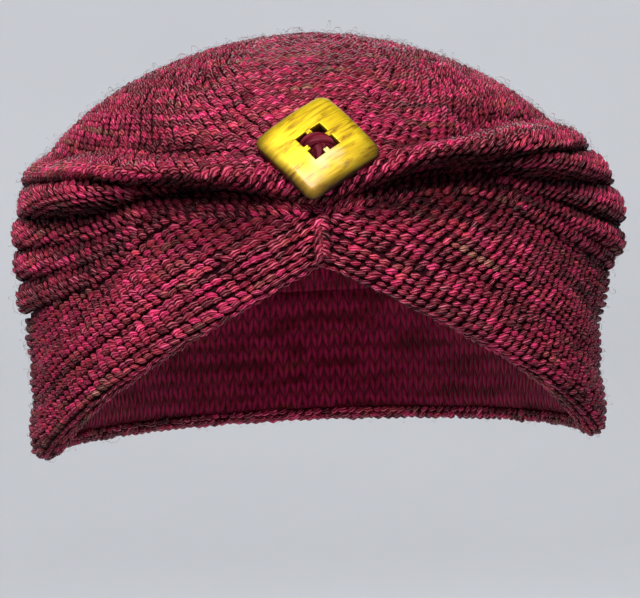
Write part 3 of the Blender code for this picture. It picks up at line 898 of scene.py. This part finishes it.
def yarn_material(name, plies, twists, groups, painted_glint_share=0.95, roughness=0.36):
    """Plied wool on a UV that runs along and round the yarn, dyed by the yarn attribute, with painted glints
    on the crests of the plies and painted shade in their grooves and where the attribute's alpha is low.
    """
    material, tree, shader, where = new_finish(name)
    uv = uv_of(tree, "ply")
    yarn = node(tree, "ShaderNodeAttribute", attribute_name="yarn")
    dye, shade, fleck = node(tree, "ShaderNodeSeparateColor", {0: yarn.outputs["Color"]}).outputs
    ply = placed(tree, groups["ply"], UV=uv, Plies=plies, Twists=twists)
    streak = placed(tree, groups["streaks"], UV=uv, Seed=fleck)[0]
    dyed = placed(tree, groups["dye"], Dye=dye, Shade=shade, Fleck=fleck, Vector=where, Streak=streak)[0]
    # Painted highlights: glints mixed into the colour along the crests of the plies
    bright = maths(tree, "POWER", maths(tree, "MULTIPLY", streak, 1.5, clamp=True), 4.0)
    crest = times(tree, maths(tree, "POWER", ply["Height"], 6.0), bright)
    glint = mixed(tree, maths(tree, "MULTIPLY", crest, painted_glint_share, clamp=True), dyed, PAINTED_WOOL_GLINT, "SCREEN")
    # Painted shade: the colour darkens in the grooves between plies and where the yarn attribute's alpha is
    # low
    shelter_shade = maths(tree, "SUBTRACT", 1.0, yarn.outputs["Alpha"])
    yarn_shade_mask = maths(tree, "MAXIMUM", times(tree, ply["Groove"], GROOVE_PAINTED_SHADE), shelter_shade)
    fibre = placed(tree, groups["fibre"], Vector=where)[0]
    fibrous = maths(tree, "ADD", times(tree, fibre, 0.25), streak)
    bumped(tree, shader, maths(tree, "ADD", ply["Height"], fibrous), 1.0, 0.00035)
    set_wool(tree, shader, mixed(tree, yarn_shade_mask, glint, PAINTED_WOOL_SHADE, "MULTIPLY"), roughness, sheen=0.02)
    return material


def painted_shade_material(groups):
    """A near-black painted shade on the walls, that shows in the gaps between stitches."""
    material, tree, shader, where = new_finish("painted_shade_wool")
    fibre = placed(tree, groups["fibre"], Vector=where)[0]
    bumped(tree, shader, fibre, 0.6, 0.0002)
    set_wool(tree, shader, ramped(tree, fibre, PAINTED_GAP_SHADE), roughness=0.9, sheen=0.05)
    return material


def shell_material(groups):
    """Dyed shell: satin streaks of gold under a gloss, a pale patch that is partly pearl and partly a painted
    highlight, and painted shade down its sides and away from a painted bright place.
    """
    material, tree, shader, where = new_finish("dyed_shell")
    uv = uv_of(tree, "face")
    grain = stretched(tree, uv, (1.3, 8.5, 1.0), turn=math.radians(18))
    streaks = noise(tree, grain, Scale=1.5, Detail=6.0, Roughness=0.62, Distortion=0.8)
    cloud = noise(tree, uv, Scale=2.3, Detail=3.0)
    # Partly the shell's own pale pearl and partly a painted highlight, low on the face
    toward_pearl_and_highlight = maths(tree, "SUBTRACT", 0.50, distance_from(tree, uv, PEARL_AND_HIGHLIGHT_PLACE))
    pearl_and_highlight = maths(tree, "MULTIPLY_ADD", toward_pearl_and_highlight, 0.95, times(tree, cloud, 1.1))
    pearl_and_highlight_share = times(tree, mapped(tree, pearl_and_highlight, 0.78, 1.15), 0.85)
    colour = mixed(tree, pearl_and_highlight_share, ramped(tree, streaks, SHELL_GOLDS), PEARL_AND_PAINTED_HIGHLIGHT)
    # Painted shade down the button's sides and rim
    shell_side_shade = node(tree, "ShaderNodeAttribute", attribute_name="shell_side_shade").outputs["Fac"]
    colour = mixed(tree, shell_side_shade, colour, SHELL_SIDE_PAINTED_SHADE, "MULTIPLY")
    # Painted shade: the face darkens away from a painted bright place, most towards its low corner
    painted_corner_shade = mapped(tree, distance_from(tree, uv, PAINTED_LIGHT_PLACE), 0.38, 0.76, to_high=0.95)
    colour = mixed(tree, painted_corner_shade, colour, SHELL_PAINTED_SHADE, "MULTIPLY")
    fibre = placed(tree, groups["fibre"], Vector=where, Size=700.0)[0]
    bumped(tree, shader, maths(tree, "ADD", streaks, times(tree, fibre, 0.12)), 0.35, 0.0004)
    feed(tree, shader, {"Base Color": colour, "Metallic": 0.55, "Specular IOR Level": 0.5,
                        "Roughness": mapped(tree, cloud, 0.0, 1.0, 0.42, 0.62, how="LINEAR"),
                        "Coat Weight": 0.15, "Coat Roughness": 0.16})
    return material


def backing_material(name, groups):
    """The inside of the knit, with its legs of stitches drawn on a UV counted in stitches, and painted shade
    between the legs.
    """
    material, tree, shader, where = new_finish(name)
    uv = uv_of(tree, "stitches")
    leg = placed(tree, groups["legs"], UV=uv)[0]
    runs = noise(tree, stretched(tree, uv, (0.22, 1.0, 1.0)), Scale=1.0, Detail=1.0)
    dyed = placed(tree, groups["dye"], Dye=times(tree, runs, 1.05), Shade=0.35, Vector=where)[0]
    fibre = placed(tree, groups["fibre"], Vector=where)[0]
    bumped(tree, shader, maths(tree, "ADD", leg, times(tree, fibre, 0.2)), 1.0, 0.0008)
    # Painted shade: the colour darkens between the legs
    gap = maths(tree, "SUBTRACT", 1.0, leg)
    set_wool(tree, shader, mixed(tree, gap, dyed, PAINTED_LEG_SHADE, "MULTIPLY"), roughness=0.8, sheen=0.2)
    return material


GROUPS = {"ply": yarn_ply_group(), "dye": dyed_wool_group(), "fibre": fibre_group(),
          "legs": knit_legs_group(), "streaks": yarn_streaks_group()}
CROWN_YARN = yarn_material("crown_yarn", 6.0, 1.0, GROUPS)
BAND_YARN = yarn_material("band_yarn", 6.0, 1.2, GROUPS)
CINCH_YARN = yarn_material("cinch_yarn", 6.0, 1.0, GROUPS)
BUTTON_YARN = yarn_material("button_strand", 5.0, 2.0, GROUPS, painted_glint_share=0.3, roughness=0.7)
STRAY_WOOL = yarn_material("stray_wool", 1.0, 1.0, GROUPS, painted_glint_share=0.0, roughness=0.85)
CROWN_BACKING = backing_material("crown_inside", GROUPS)
BAND_BACKING = backing_material("band_inside", GROUPS)
PAINTED_SHADE_WOOL = painted_shade_material(GROUPS)
GOLD_SHELL = shell_material(GROUPS)


# The walls, and the rows of the crown

# The number of rows suits a column that this share of all the columns is no longer than
DOME_SHARE = 0.7
FOLD_SHARE = 0.6

# How far in the first row lies, as a share of the space between rows
FIRST_DOME_ROW = 0.7
FIRST_FOLD_ROW = 0.5
FIRST_BAND_ROW = 0.3

for backing, name, slot, finish in ((crown_wall(), "crown", "crown_wool", CROWN_BACKING),
                                    (band_wall(), "brim_band", "band_wool", BAND_BACKING)):
    kept(backing, name, finish=finish, slot=slot)
    # The rows behind the stitches take a near-black painted shade
    backing.data.materials.append(PAINTED_SHADE_WOOL)

rng = np.random.default_rng(7)
crown_curves = profiles(crown_outside, DOME_ROWS, DRAPE_ROWS, ROLL_ROWS)
band_curves = profiles(band_outside, BAND_ROWS, RIM_ROWS)
OUTLINES = [np.concatenate(pair)[::2] for pair in zip(crown_curves, band_curves)]

drape_lengths = np.array([arc_lengths(curve)[DOME_ROWS + DRAPE_ROWS] for curve in crown_curves])
whole_lengths = np.array([arc_lengths(curve)[-1] for curve in crown_curves])
dome_count = int(round(np.quantile(drape_lengths, DOME_SHARE) / ROW_PITCH))
dome_shares = (np.arange(dome_count) + FIRST_DOME_ROW) / dome_count
dome_rows = lay_rows(crown_curves, dome_shares[:, None] * drape_lengths[None, :], OUTLINES)

fold_lengths = whole_lengths - drape_lengths
fold_count = int(round(np.quantile(fold_lengths, FOLD_SHARE) / ROW_PITCH))
fold_shares = (np.arange(fold_count) + FIRST_FOLD_ROW) / fold_count
fold_stations = drape_lengths[None, :] + fold_shares[:, None] * fold_lengths[None, :]
fold_rows = lay_rows(crown_curves, fold_stations, OUTLINES)


# How stitches lean from their rows, in radians. A pair is for the left and the right side
BACK_LEAN = 0.12
DOME_LEANS = (-0.40, 0.12)
LIP_LEAN = 0.75
LIP_ROWS = 7
FOLD_LEANS = (-0.6, 0.5)
BAND_LEANS = (-0.20, 0.46)
RIGHT_LEAN = 0.16

# How far rows are drawn together in pairs, and the share of that which is lost at the back
RIDGE_PAIRING = 0.02
LEFT_PAIRING = 0.035
BACK_EVENING = 0.7


def at_back(azimuth):
    return past(np.abs(azimuth), 75, 60)


def evened(slant, azimuth):
    """A lean that gives way to one small lean all across the back."""
    return blend(slant, BACK_LEAN, at_back(azimuth))


def dome_slant(azimuth, row):
    """Stitches lean a little down to the right at the left of the button and stand up at the lip."""
    near_lip = eased((row - dome_count + LIP_ROWS) / 3)
    at_front = 1 - past(np.abs(azimuth), 60, 20)
    leaning = blend(*DOME_LEANS, past(azimuth, -20, 40))
    return evened(blend(leaning, LIP_LEAN, near_lip * at_front), azimuth)


def fold_slant(azimuth, row):
    return evened(np.where(azimuth < 0, *FOLD_LEANS), azimuth)


def band_slant(azimuth, row):
    """The stitches lie along the rows at the left, and stay about level as the rows fall at the right."""
    leaning = blend(*BAND_LEANS, past(azimuth, -20, 45))
    return evened(blend(leaning, RIGHT_LEAN, past(azimuth, 30, 30)), azimuth)


def band_pairing(azimuth):
    """Ridges of two rows at the left of the arch, which even out at the right and the back."""
    at_left = 1 - past(azimuth, -15, 30)
    return (RIDGE_PAIRING + LEFT_PAIRING * at_left) * (1 - BACK_EVENING * at_back(azimuth))


# The crown

YARN = {"sides": 6, "steps": 4, "radius": 0.46, "sweep": math.pi, "taper": 0.32}
BEAD = arched_bead(arch=0.38, bow=0.65, **YARN)
BAND_BEAD = arched_bead(arch=0.39, bow=0.45, **YARN)

dome_stitches = work_rows(dome_rows, counts_for(dome_rows, STITCH_PITCH), rng, dome_slant)
# Painted shade: the stitches on the top of the crown are darkened
top_shade_mask = eased((dome_stitches.place[:, 2] - TOP_START) / (WRAP_HEIGHT - TOP_START) * TOP_GAIN)
dome_stitches = dome_stitches._replace(height=dome_stitches.height * CROWN_SLACK,
                                       open=dome_stitches.open * (1 - TOP_PAINTED_SHADE * top_shade_mask))
fold_stitches = work_rows(fold_rows, counts_for(fold_rows, STITCH_PITCH), rng, fold_slant)
third = len(dome_stitches.place) // 3
for label, stitches in (("top", some(dome_stitches, slice(0, third))),
                        ("middle", some(dome_stitches, slice(third, 2 * third))),
                        ("drape", some(dome_stitches, slice(2 * third, None))),
                        ("folds", fold_stitches)):
    piece = knitted("crown_" + label, BEAD, stitches, rng, CROWN_PLUMPNESS)
    kept(piece, finish=CROWN_YARN, slot="crown_wool")


# The band: its rows run parallel to the rim and end where they meet the folds

band_lengths = np.array([arc_lengths(curve)[-1] for curve in band_curves])
band_count = int(math.ceil(band_lengths.max() / BAND_ROW_PITCH))
band_stations = band_lengths[None, :] - (np.arange(band_count)[:, None] + FIRST_BAND_ROW) * BAND_ROW_PITCH
band_rows = lay_rows(band_curves, np.maximum(band_stations, 0.0), OUTLINES)
band_rows = band_rows._replace(spacing=np.where(band_stations > 0.0, BAND_ROW_PITCH, 0.0))
band_total = int(round(arc_lengths(band_rows.points[0])[-1] / BAND_STITCH_PITCH))
band_stitches = work_rows(band_rows, [band_total] * band_count, rng, band_slant, band_pairing)
at_left_front = past(band_stitches.azimuth, -60, 25) * (1 - past(band_stitches.azimuth, -12, 20))
round_band = np.abs(band_stitches.azimuth)
# Painted shade: the band's stitches are darkened round the sides, and less so at the back
side_shade_mask = past(round_band, 32, 30) * (1 - past(round_band, 105, 40))
band_stitches = band_stitches._replace(length=band_stitches.length * (1 + LEFT_FRONT_STRETCH * at_left_front),
                                       height=band_stitches.height * BAND_SLACK,
                                       open=band_stitches.open * (1 - SIDE_PAINTED_SHADE * side_shade_mask))
half = len(band_stitches.place) // 2
for label, chosen in (("rim", slice(0, half)), ("upper", slice(half, None))):
    piece = knitted("band_" + label, BAND_BEAD, some(band_stitches, chosen), rng, BAND_PLUMPNESS)
    kept(piece, finish=BAND_YARN, slot="band_wool")


# The gather: a short braid where the rows of both sides meet

GATHER_STITCH = 0.0024
GATHER_PROUD = 0.0012
GATHER_LEAN = math.radians(40)
GATHER_LEAN_SPREAD = 0.12
# Painted shade: every stitch of the braid is darkened a little
GATHER_OPENNESS = 0.85
GATHER_STEP_OUT = 0.30
GATHER_STRETCH = (1.35, 1.1)


def gather_braid(rng):
    """Stitches that lean in from both sides, one above the other, up the front of the ridge."""
    low, high = (Vector(corner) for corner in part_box("front_gather"))
    count = int(round((high.z - low.z) / GATHER_STITCH))
    order = np.arange(2 * count)
    share = (order // 2 + 0.5 * (order % 2) + 0.4) / (count + 0.1)
    side = np.where(order % 2 == 0, -1.0, 1.0)
    skin, normals = skin_frame(0.0, climb_at(low.z + (high.z - low.z) * share))
    place = skin + normals * (GATHER_PROUD - PINCH_DEPTH)
    place[:, 0] += side * GATHER_STITCH * GATHER_STEP_OUT
    lean = GATHER_LEAN + rng.normal(0.0, GATHER_LEAN_SPREAD, 2 * count)
    across = np.array([[1.0, 0.0, 0.0]])
    upward = np.cross(normals, across)
    along = across * np.cos(lean)[:, None] + upward * (np.sin(lean) * -side)[:, None]
    up = np.cross(normals, along)
    length, height = (GATHER_STITCH * stretch for stretch in GATHER_STRETCH)
    axes = np.stack([along * length, up * height, normals * CROWN_PLUMPNESS], axis=1)
    colours = rng.random((2 * count, 3)) * [0.6, 0.8, 1.0]
    return knit_together("gather_braid", BEAD, place, axes, colours, np.full(2 * count, GATHER_OPENNESS))


kept(gather_braid(rng), "front_gather", finish=CINCH_YARN, slot="cinch_wool")


# The button and its yarn

BUTTON_CELLS = 48
RIM_ROUNDING = 0.0005
RIM_EASE_WIDTH = 0.0026
RIM_EASE_DROP = 0.0009
OPENING_ROUNDING = 0.00022
RIM_TURN = math.radians(50)
ROUNDING_STEPS = 3
STRAND_WIDTH = 0.0044
STRAND_RISE = 0.0047959
STRAND_TRIM = 0.0012
STRAND_LAP = 0.0008
STRAND_DYES = ((0.26, 0.16, 0.5), (0.20, 0.10, 0.5))


def button_place():
    """The button lies square to the drape above the gather, on the plane of its solid's back."""
    centre, normal = (Vector(found[0]) for found in skin_frame(0.0, [float(climb_at(BUTTON_HEIGHT))]))
    across = Vector((1, 0, 0))
    upright = Matrix.Rotation(BUTTON_LEAN, 3, across)
    up = upright @ normal.cross(across)
    normal = upright @ normal
    back = min((vert.co - centre).dot(normal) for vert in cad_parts["button"].data.vertices)
    turn = Matrix((across, up, normal)).transposed().to_4x4()
    return Matrix.Translation(centre + normal * back) @ turn @ Matrix.Rotation(BUTTON_TURN, 4, "Z")


def in_opening(point):
    """Whether a point of the face lies in the square opening and off its four tabs."""
    across, along = sorted((abs(point.x), abs(point.y)))
    half = OPENING_SIDE / 2
    return along < half and not (across < TAB_WIDTH / 2 and along > half - TAB_LENGTH)


def rounded_corner(point):
    """Draws a point of a square in to the round of the button's corners."""
    straight = BUTTON_SIDE / 2 - BUTTON_CORNER
    beyond = Vector((max(abs(point.x) - straight, 0.0), max(abs(point.y) - straight, 0.0)))
    if beyond.x > 0.0 and beyond.y > 0.0:
        beyond *= max(beyond) / beyond.length
        point.x = math.copysign(straight + beyond.x, point.x)
        point.y = math.copysign(straight + beyond.y, point.y)


def shell_button(place):
    """A rounded square with a domed face, cut through by its opening and eased at every rim."""
    bm = bmesh.new()
    bmesh.ops.create_grid(bm, x_segments=BUTTON_CELLS, y_segments=BUTTON_CELLS, size=BUTTON_SIDE / 2)
    half = OPENING_SIDE / 2
    for offset in (half, TAB_WIDTH / 2, half - TAB_LENGTH):
        for normal in ((1, 0, 0), (-1, 0, 0), (0, 1, 0), (0, -1, 0)):
            bmesh.ops.bisect_plane(bm, geom=bm.verts[:] + bm.edges[:] + bm.faces[:], dist=BUTTON_SIDE / 5000,
                                   plane_co=Vector(normal) * offset, plane_no=normal)
    gone = [face for face in bm.faces if in_opening(face.calc_center_median())]
    bmesh.ops.delete(bm, geom=gone, context="FACES")
    for vert in bm.verts:
        inset = BUTTON_SIDE / 2 - max(abs(vert.co.x), abs(vert.co.y))
        rounded_corner(vert.co)
        fall = BUTTON_DOME_RADIUS - math.sqrt(BUTTON_DOME_RADIUS ** 2 - vert.co.x ** 2 - vert.co.y ** 2)
        eased_off = RIM_EASE_DROP * max(0.0, 1 - inset / RIM_EASE_WIDTH) ** 2
        vert.co.z = BUTTON_THICKNESS - fall - eased_off
    made = bmesh.ops.extrude_face_region(bm, geom=bm.faces[:])
    for vert in (item for item in made["geom"] if isinstance(item, bmesh.types.BMVert)):
        vert.co.z = 0.0
    bmesh.ops.recalc_face_normals(bm, faces=bm.faces)
    rims = [edge for edge in bm.edges if edge.is_manifold and edge.calc_face_angle() > RIM_TURN
            and edge.verts[0].co.z > RIM_ROUNDING and edge.verts[1].co.z > RIM_ROUNDING
            and abs(edge.verts[0].co.z - edge.verts[1].co.z) < BUTTON_THICKNESS / 2]
    outer = [edge for edge in rims if max(map(abs, edge.verts[0].co.xy)) > OPENING_SIDE]
    inner = [edge for edge in rims if max(map(abs, edge.verts[0].co.xy)) < OPENING_SIDE]
    for edges, rounding in ((inner, OPENING_ROUNDING), (outer, RIM_ROUNDING)):
        bmesh.ops.bevel(bm, geom=edges, offset=rounding, offset_type="OFFSET", segments=ROUNDING_STEPS,
                        profile=0.5, affect="EDGES", material=-1, clamp_overlap=True)
    uv = bm.loops.layers.uv.new("face")
    # Painted shade: a mask of the rim, where the surface falls below the dome of the face
    down = bm.verts.layers.float.new("shell_side_shade")
    for vert in bm.verts:
        across = BUTTON_DOME_RADIUS ** 2 - vert.co.x ** 2 - vert.co.y ** 2
        face_height = BUTTON_THICKNESS - BUTTON_DOME_RADIUS + math.sqrt(across)
        vert[down] = min(max(face_height - vert.co.z - RIM_EASE_DROP / 3, 0.0) / RIM_EASE_DROP, 1.0)
    for face in bm.faces:
        for loop in face.loops:
            loop[uv].uv = loop.vert.co.xy / BUTTON_SIDE
    bmesh.ops.transform(bm, matrix=place, verts=bm.verts)
    return smooth_object("shell_button", bm)


def button_stitches(place, rise, width):
    """Two lengths of yarn: one arched across the opening, and one from it down into a corner."""
    corner = (OPENING_SIDE - TAB_WIDTH) / 4 + TAB_WIDTH / 2
    reach = corner * math.sqrt(2)
    diagonal = place @ Matrix.Rotation(-math.pi / 4, 4, "Z")
    turned = diagonal.to_3x3()
    out = turned @ Vector((0, 0, rise))
    axes = []
    places = []
    for middle, towards, length in (((0, 0, 0.0005), (1, 0, 0), 2 * reach - STRAND_TRIM),
                                    ((0, -reach / 2, -0.0004), (0, -1, 0), reach + STRAND_LAP)):
        along = turned @ Vector(towards) * length
        axes.append([along, out.cross(along).normalized() * width, out])
        places.append(diagonal @ Vector(middle))
    return knit_together("button_strands", STRAND, np.array(places), np.array(axes),
                         np.array(STRAND_DYES), np.ones(len(STRAND_DYES)))


button_at = button_place()
kept(shell_button(button_at), "button", finish=GOLD_SHELL, slot="gold_shell")
STRAND = arched_bead(sides=12, steps=14, radius=0.44, arch=0.50, sweep=math.pi, bow=0.45, taper=0.8)
strand_top = STRAND.points[:, 2].max()
kept(button_stitches(button_at, STRAND_RISE / strand_top, STRAND_WIDTH), "button_yarn",
     finish=BUTTON_YARN, slot="button_wool")


# Stray fibres that stand off the wool, with the odds of their length and of how far they stand

FIBRE = arched_bead(sides=3, steps=3, radius=0.022, arch=1.0, sweep=math.radians(130), bow=0.35, taper=0.6)
FIBRE_LENGTHS = (3.0, 0.00038)
FIBRE_STANDS = (2.5, 0.00040)
FIBRE_ROOT = 0.0010


def stray_fibres(name, stitches, count, rng):
    """Short fine fibres, bent at random, rooted in some of the stitches."""
    rooted = some(stitches, rng.choice(len(stitches.place), count, replace=False))
    turn = rng.uniform(0.0, math.tau, count)
    along = rooted.along * np.cos(turn)[:, None] + rooted.up * np.sin(turn)[:, None]
    side = np.cross(rooted.out, along)
    length = rng.gamma(*FIBRE_LENGTHS, count)[:, None]
    stand = rng.gamma(*FIBRE_STANDS, count)[:, None]
    axes = np.stack([along * length, side * length, rooted.out * stand], axis=1)
    colours = np.stack([rooted.dye, np.full(count, 0.5), rng.random(count)], axis=1)
    return knit_together(name, FIBRE, rooted.place + rooted.out * FIBRE_ROOT, axes, colours, np.ones(count))


for label, stitches, count, slot in (("crown", dome_stitches, 4700, "crown_wool"),
                                     ("folds", fold_stitches, 1300, "crown_wool"),
                                     ("band", band_stitches, 2500, "band_wool")):
    kept(stray_fibres(label + "_fibres", stitches, count, rng), finish=STRAY_WOOL, slot=slot)


# The stage, the light and the camera

FLOOR_OUTLINE = ((0.0, -0.30), (1.2, -0.30), (1.8, -0.26), (2.2, -0.10), (2.45, 0.25), (2.5, 0.8), (2.5, 2.2))
WRAP_MIDDLE = (0.0, 0.0, 0.06)
WARM = (1.0, 0.98, 0.95)
COOL = (0.96, 0.98, 1.0)
SKY = (0.80, 0.86, 0.95, 1.0)
YAW = math.radians(1.8)
ROLL_OF_CAMERA = math.radians(-2.4)
DISTANCE = 0.9
EYE_HEIGHT = 0.077
LOOKED_AT = (0.0023, 0.0, 0.0456)
SENSOR = 36.0
WIDTH_IN_VIEW = 0.201


def soft_light(name, place, size, power, colour, aim=WRAP_MIDDLE):
    light = bpy.data.lights.new(name, "AREA")
    light.energy = power
    light.size = size
    light.color = colour
    obj = linked(name, light)
    obj.location = place
    obj.rotation_euler = (Vector(aim) - Vector(place)).to_track_quat("-Z", "Y").to_euler()


def pale_floor():
    """A wide floor that curves up into a low wall all round."""
    bm = bmesh.new()
    verts = [bm.verts.new((radius, 0.0, height)) for radius, height in FLOOR_OUTLINE]
    edges = [bm.edges.new(pair) for pair in zip(verts, verts[1:])]
    bmesh.ops.spin(bm, geom=verts + edges, cent=(0, 0, 0), axis=(0, 0, 1), angle=math.tau, steps=64,
                   use_merge=True)
    bmesh.ops.remove_doubles(bm, verts=bm.verts, dist=1e-5)
    bmesh.ops.recalc_face_normals(bm, faces=bm.faces)
    bmesh.ops.reverse_faces(bm, faces=bm.faces)
    floor = smooth_object("pale_floor", bm)
    material, tree, shader, where = new_finish("pale_paper")
    greys = ramped(tree, noise(tree, where, Scale=3.0), FLOOR_GREYS)
    feed(tree, shader, {"Base Color": greys, "Roughness": 0.9})
    floor.data.materials.append(material)


pale_floor()
soft_light("window", (-0.17, -0.93, 0.84), 0.36, 20.0, WARM)
soft_light("behind_left", (-0.35, 1.20, 0.55), 0.6, 3.0, COOL)
soft_light("behind_right", (0.35, 1.20, 0.55), 0.6, 3.0, COOL)
soft_light("backdrop", (0.0, 0.70, 1.30), 1.0, 23.0, (1.0, 0.98, 0.96), aim=(0.0, 2.4, 0.35))

world = bpy.data.worlds.new("daylight")
world.use_nodes = True
bpy.context.scene.world = world
feed(world.node_tree, world.node_tree.nodes["Background"], {"Color": SKY, "Strength": 0.07})
bpy.context.scene.view_settings.view_transform = "Standard"

camera = bpy.data.cameras.new("camera")
camera.sensor_width = SENSOR
camera.lens = SENSOR * DISTANCE / WIDTH_IN_VIEW
camera.clip_start = 0.01
eye = Vector((-DISTANCE * math.sin(YAW), -DISTANCE * math.cos(YAW), EYE_HEIGHT))
sight = (Vector(LOOKED_AT) - eye).to_track_quat("-Z", "Y").to_matrix().to_4x4()
camera_object = linked("camera", camera)
camera_object.matrix_world = Matrix.Translation(eye) @ sight @ Matrix.Rotation(ROLL_OF_CAMERA, 4, "Z")
bpy.context.scene.camera = camera_object

bpy.context.view_layer.update()
